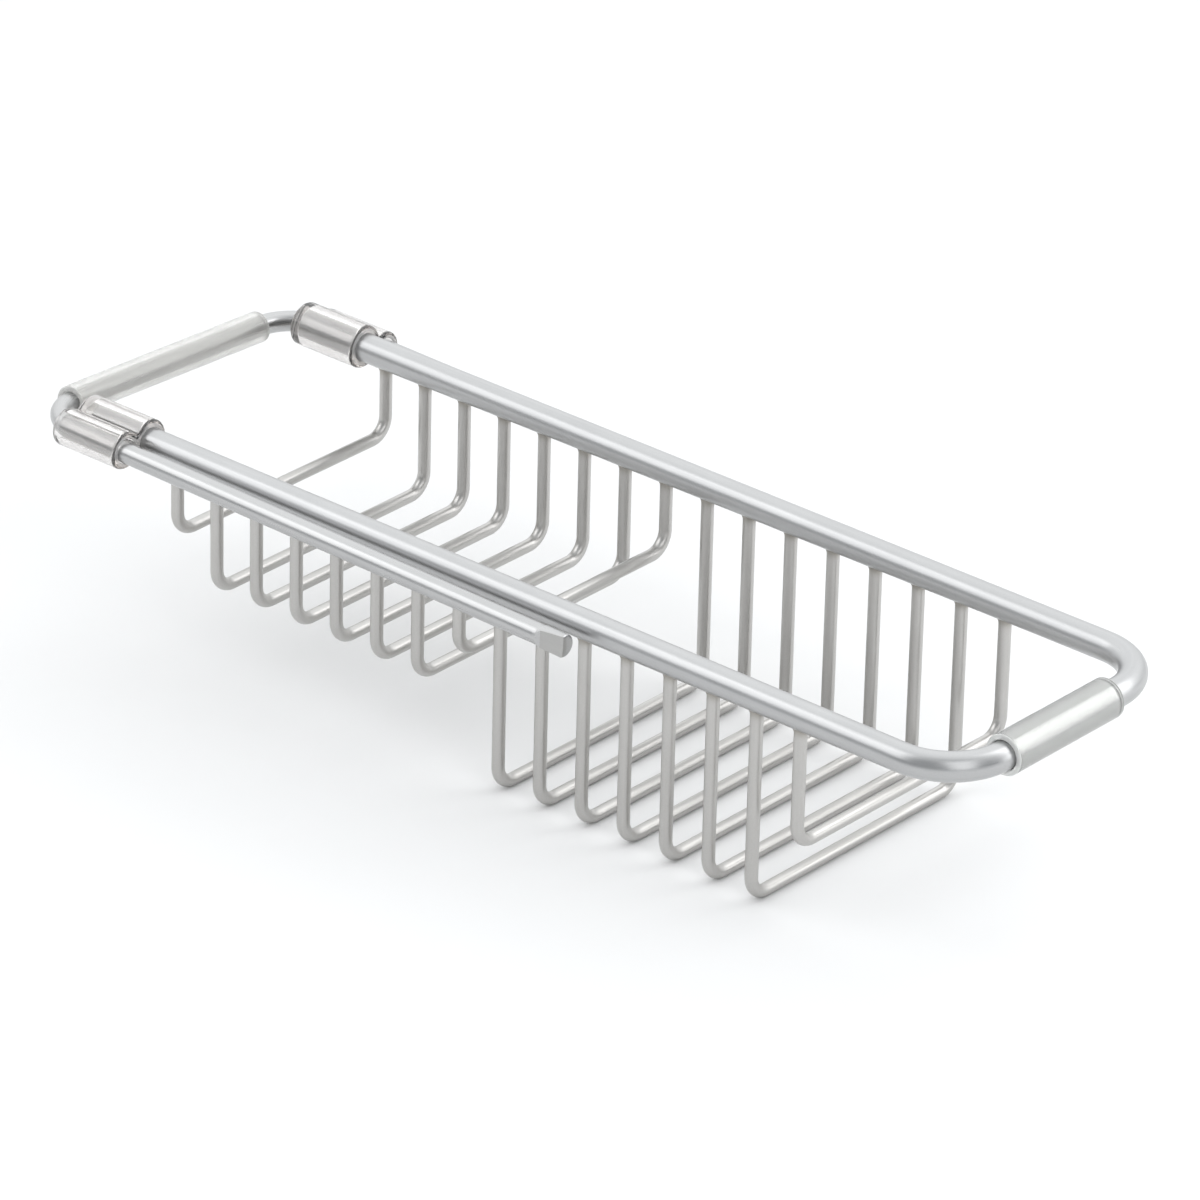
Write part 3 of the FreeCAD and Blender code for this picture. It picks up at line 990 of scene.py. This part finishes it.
    def build(self, material: bpy.types.Material) -> None:
        """Make the moulding from its two halves."""
        side = self.side.name.lower()
        surface = Surface.join([self.half(at_socket=True), self.half(at_socket=False)])
        add_piece(f"{side}_moulding", surface, material, Slot.CLEAR, Body.BASKET, f"{side}_connector")


@dataclass(frozen=True)
class Extension:
    """The sliding rod with its pressed ends, and the soft sleeve on its cross bar."""

    front: Connector
    rear: Connector
    arm_radius: float = 3.25 * MM
    bend_radius: float = 16.5 * MM
    arm_spread: float = 0.6 * MM
    bend_entry: float = 5.6 * MM
    travel: float = 164.2 * MM
    stop_clearance: float = 0.3 * MM
    droop: float = 0.76
    ramp: float = 1.5 * MM
    tongue: float = 8.3 * MM
    neck_radius: float = 3.5 * MM
    neck_back: float = 3.3 * MM
    neck_flat: float = 2.4 * MM
    tip_radius: float = 3.6 * MM
    tip_back: float = 3.05 * MM
    tip_flat: float = 1.85 * MM
    tip_edge: float = 0.6 * MM
    round_corner: float = 12.0
    pressed_dullness: float = 0.45
    flat_columns: int = 14
    tip_rows: int = 8
    grip_radius: float = 5.0 * MM
    grip_bore_radius: float = 3.35 * MM
    grip_straight: float = 81.6 * MM
    grip_wrap: float = 2.8 * MM
    grip_rim: float = 0.45 * MM
    grip_columns: int = 96
    columns: int = 72
    step: float = 1.2 * MM
    stop_step: float = 0.15 * MM

    def bore(self, connector: Connector) -> Array:
        """Return the Y and Z of a connector's bore."""
        return connector.place.put(np.array([0.0, connector.bore_to_socket, 0.0]))[1:]

    @property
    def span(self) -> Array:
        """The step in Y and Z from the front bore to the rear one."""
        return self.bore(self.rear) - self.bore(self.front)

    @property
    def roll(self) -> float:
        """How far the U is rolled, in degrees, because its bores are at different heights."""
        return math.degrees(math.atan2(self.span[1], self.span[0]))

    @property
    def stop_start(self) -> float:
        """Where along X the round arm ends and its pressed end starts."""
        return self.rear.left + self.rear.length + self.travel + self.stop_clearance

    @property
    def bar_place(self) -> float:
        """Where along X the sliding cross bar is, before the droop."""
        return self.front.left + self.bend_entry - self.bend_radius

    @property
    def path(self) -> BentPath:
        """The rod's middle line, from the round end of the front arm to that of the rear arm."""
        spacing = float(np.hypot(*self.span)) + 2 * self.arm_spread
        return BentPath(self.stop_start - self.bar_place, spacing, self.bend_radius)

    @property
    def place(self) -> Place:
        """Where that line starts, rolled by the bores and drooping by the arms' play."""
        roll = math.radians(self.roll)
        outward = self.arm_spread * np.array([math.cos(roll), math.sin(roll)])
        middle = self.front.left + self.front.length / 2
        drop = (self.stop_start - middle) * math.tan(math.radians(self.droop))
        y, z = self.bore(self.front) - outward
        turn = about_y(self.droop) @ about_x(self.roll) @ about_y(180)
        return Place(np.array([self.stop_start, y, z - drop]), turn)

    def rod(self) -> Surface:
        """Build the rod: circles along the U that turn into a round-backed tongue past each arm's end.

        A row's outline is a circle of the back's radius r about a centre that moves outwards, cut off at the
        flat's distance d. Its corners are at ± arccos((d − centre) / r), and the same columns always run along
        them. r, d and the centre run from the round arm to the neck and on to the tip, and a quarter circle
        rounds the tip's edge. A round row keeps all its columns on the circle.

        Returns:
            The closed rod.
        """
        path = self.path
        past_end = self.ramp + self.tongue
        _, rise = quarter_round(self.tip_rows)
        edge = past_end - self.tip_edge * (1 - rise)
        ramp = steps(0.0, self.ramp, self.stop_step)
        stop_rows = np.concatenate([ramp, steps(self.ramp, edge[0], self.stop_step)[1:], edge[1:]])
        arms = steps(0.0, path.length, self.step)[1:-1]
        along = np.concatenate([-stop_rows[::-1], arms, path.length + stop_rows])
        past = np.maximum(np.maximum(-along, along - path.length), 0)
        knots = (0.0, self.ramp, past_end)
        back_radius = np.interp(past, knots, (self.arm_radius, self.neck_radius, self.tip_radius))
        back = np.interp(past, knots, (self.arm_radius, self.neck_back, self.tip_back))
        flat = np.interp(past, knots, (self.arm_radius, self.neck_flat, self.tip_flat))
        centre = (back_radius - back)[:, None]
        inset = self.tip_edge * (1 - np.sqrt(1 - np.clip((past - edge[0]) / self.tip_edge, 0, 1) ** 2))
        back_radius = (back_radius - inset)[:, None]
        flat = (flat - inset)[:, None]
        is_pressed = past[:, None] > 0
        pressed_corner = np.arccos((flat - centre) / back_radius)
        corner = np.where(is_pressed, pressed_corner, math.radians(self.round_corner))
        chord = np.linspace(-1, 1, self.flat_columns)
        back_share = np.linspace(0, 1, self.columns - self.flat_columns + 2)[1:-1]
        angle = np.concatenate([corner * chord, corner + (2 * math.pi - 2 * corner) * back_share], axis=1)
        outward, sideways = centre + back_radius * np.cos(angle), back_radius * np.sin(angle)
        is_flat = is_pressed & (np.arange(self.columns) < self.flat_columns)
        outward = np.where(is_flat, flat, outward)
        sideways[:, :self.flat_columns] = np.where(is_pressed, back_radius * np.sin(corner) * chord,
                                                   sideways[:, :self.flat_columns])
        inward, upward = -outward, -sideways
        points = self.place.put(path.carry(along, inward, upward)).reshape(-1, 3)
        quads = grid_quads(len(along), self.columns).reshape(-1, 4)
        rod = Surface(points, quads, bar_values(along, inward, upward))
        rod.values[DULL] = np.where(is_flat & (past[:, None] > self.ramp), self.pressed_dullness, 0.0).ravel()
        return close_ends(rod, len(along), self.columns)

    def build(self) -> None:
        """Make the rod and the sleeve, which follows the front bend a little way."""
        add_piece("sliding_rod", self.rod(), SATIN_ROD.material(), Slot.ROD, Body.EXTENSION, "extension_frame")
        start = self.path.bar_start - self.grip_wrap
        end = self.path.bar_start + self.grip_straight
        sleeve = TubeShape(self.path, self.place, start, end, self.grip_radius, self.grip_bore_radius,
                           self.grip_rim, columns=self.grip_columns)
        add_piece("left_sleeve", sleeve.surface(), FROSTED_GRIP.material(), Slot.FROSTED, Body.EXTENSION,
                  "left_grip_sleeve")


# Studio


@dataclass(frozen=True)
class SoftBox:
    """A rectangular lamp whose long edge is level, and which faces the line through a point along that edge."""

    name: str
    along: Along
    position: Triple
    target: Triple
    size: tuple[float, float]
    glow: float

    def build(self) -> None:
        """Make the lamp, whose power is its glow times its area times π."""
        lamp = bpy.data.lights.new(self.name, "AREA")
        lamp.shape = "RECTANGLE"
        lamp.size, lamp.size_y = self.size
        lamp.energy = self.glow * math.pi * self.size[0] * self.size[1]
        holder = bpy.data.objects.new(self.name, lamp)
        holder.visible_camera = False
        edge = Vector(self.along.value)
        back = Vector(self.position) - Vector(self.target)
        back = (back - back.project(edge)).normalized()
        turn = Matrix((edge, back.cross(edge), back)).transposed()
        holder.matrix_world = Matrix.Translation(self.position) @ turn.to_4x4()
        bpy.context.scene.collection.objects.link(holder)


RAIL_LIGHT = SoftBox("rail_light", Along.X, position=(-1.0, -0.818, 0.878), target=(-0.17, 0.0, 0.0),
                     size=(1.2, 1.09), glow=1.2)
BEND_LIGHT = SoftBox("bend_light", Along.BEND, position=(0.72, -0.42, 0.56), target=(0.0, 0.0, 0.0),
                     size=(0.6, 1.1), glow=1.2)
BAR_LIGHT = SoftBox("bar_light", Along.Y, position=(0.33, 0.44, 0.31), target=(0.0, 0.0, 0.0),
                    size=(0.34, 0.85), glow=1.75)


@dataclass(frozen=True)
class Studio:
    """The floor, the lamps, the world and the camera."""

    floor_size: float = 8.0
    floor_colour: Colour = (0.84, 0.84, 0.84)
    floor_roughness: float = 0.9
    bright_colour: Colour = (1.46, 1.48, 1.49)
    dim_colour: Colour = (0.47, 0.485, 0.50)
    bright_direction: Triple = (-0.55, 0.75, 0.35)
    brightening: Range = (-0.35, 0.75)
    horizon_share: float = 0.65
    horizon_top: float = 0.5
    azimuth: float = 40.31
    elevation: float = 27.26
    roll: float = 1.43
    image_size: float = 1200.0
    focal_pixels: float = 8500.9
    distance: float = 2.5427
    aim: Triple = (-0.2147, 0.0, 0.0064)
    aim_pixel: tuple[float, float] = (496.1, 491.44)

    def camera(self) -> None:
        """Set the camera up at the photograph's angle, so that the aim point falls on its pixel."""
        azimuth, elevation, roll = (math.radians(angle) for angle in (self.azimuth, self.elevation, self.roll))
        back = np.array([math.sin(azimuth) * math.cos(elevation), -math.cos(azimuth) * math.cos(elevation),
                         math.sin(elevation)])
        level = np.array([math.cos(azimuth), math.sin(azimuth), 0.0])
        upright = np.cross(back, level)
        right = math.cos(roll) * level + math.sin(roll) * upright
        top = -math.sin(roll) * level + math.cos(roll) * upright
        metres = self.distance / self.focal_pixels
        across, down = ((pixel - self.image_size / 2) * metres for pixel in self.aim_pixel)
        position = np.array(self.aim) + back * self.distance - right * across + top * down
        data = bpy.data.cameras.new("camera")
        data.lens = self.focal_pixels / self.image_size * data.sensor_width
        camera = bpy.data.objects.new("camera", data)
        matrix = np.eye(4)
        matrix[:3, 0], matrix[:3, 1], matrix[:3, 2], matrix[:3, 3] = right, top, back, position
        camera.matrix_world = Matrix(matrix.tolist())
        bpy.context.scene.collection.objects.link(camera)
        bpy.context.scene.camera = camera

    def floor(self) -> None:
        """Lay the floor under the lowest wire."""
        corners = np.array([[-1, -1], [1, -1], [1, 1], [-1, 1]]) * self.floor_size / 2
        points = np.column_stack([corners, np.full(4, CAD_BOX[0].z)])
        mesh = bpy.data.meshes.new("floor")
        mesh.from_pydata(points.tolist(), [], [(0, 1, 2, 3)])
        material = bpy.data.materials.new("floor")
        material.use_nodes = True
        shader = material.node_tree.nodes["Principled BSDF"]
        shader.inputs["Base Color"].default_value = (*self.floor_colour, 1)
        shader.inputs["Roughness"].default_value = self.floor_roughness
        shader.inputs["Specular IOR Level"].default_value = 0.0
        mesh.materials.append(material)
        floor = bpy.data.objects.new("floor", mesh)
        bpy.context.scene.collection.objects.link(floor)

    def world(self) -> None:
        """Light everything softly from all round, brighter from one direction and dimmer towards the horizon."""
        world = bpy.data.worlds.new("studio")
        world.use_nodes = True
        nodes, links = world.node_tree.nodes, world.node_tree.links
        direction = nodes.new("ShaderNodeTexCoord")
        towards = nodes.new("ShaderNodeVectorMath")
        towards.operation = "DOT_PRODUCT"
        towards.inputs[1].default_value = Vector(self.bright_direction).normalized()
        links.new(direction.outputs["Generated"], towards.inputs[0])
        share = nodes.new("ShaderNodeMapRange")
        share.interpolation_type = "SMOOTHSTEP"
        share.inputs["From Min"].default_value, share.inputs["From Max"].default_value = self.brightening
        links.new(towards.outputs["Value"], share.inputs["Value"])
        mix = nodes.new("ShaderNodeMix")
        mix.data_type = "RGBA"
        mix.inputs["A"].default_value = (*self.dim_colour, 1)
        mix.inputs["B"].default_value = (*self.bright_colour, 1)
        parts = nodes.new("ShaderNodeSeparateXYZ")
        links.new(direction.outputs["Generated"], parts.inputs["Vector"])
        height = nodes.new("ShaderNodeMapRange")
        height.interpolation_type = "SMOOTHSTEP"
        height.inputs["From Max"].default_value = self.horizon_top
        height.inputs["To Min"].default_value = self.horizon_share
        links.new(parts.outputs["Z"], height.inputs["Value"])
        factor = nodes.new("ShaderNodeMath")
        factor.operation = "MULTIPLY"
        links.new(share.outputs["Result"], factor.inputs[0])
        links.new(height.outputs["Result"], factor.inputs[1])
        links.new(factor.outputs["Value"], mix.inputs["Factor"])
        links.new(mix.outputs["Result"], nodes["Background"].inputs["Color"])
        bpy.context.scene.world = world

    def build(self) -> None:
        """Set the whole studio up."""
        bpy.context.scene.view_settings.view_transform = "Standard"
        self.world()
        self.floor()
        self.camera()
        for lamp in (RAIL_LIGHT, BEND_LIGHT, BAR_LIGHT):
            lamp.build()


def write_size() -> None:
    """Bring the view layer up to date."""
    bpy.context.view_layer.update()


def main() -> None:
    """Build the holder's sub-assemblies in order, then the studio."""
    logging.basicConfig(level=logging.INFO, format="%(name)s: %(message)s")
    main_frame = MainFrame()
    main_frame.build()
    WireBasket(main_frame).build()
    front = Connector(main_frame, Side.FRONT, left=-338.3 * MM, droop=-3.0)
    rear = Connector(main_frame, Side.REAR, left=-335.9 * MM, droop=25.0)
    clear = CLEAR_PLASTIC.material()
    for connector in (front, rear):
        connector.build(clear)
    Extension(front, rear).build()
    Studio().build()
    write_size()


if __name__ == "__main__":
    main()
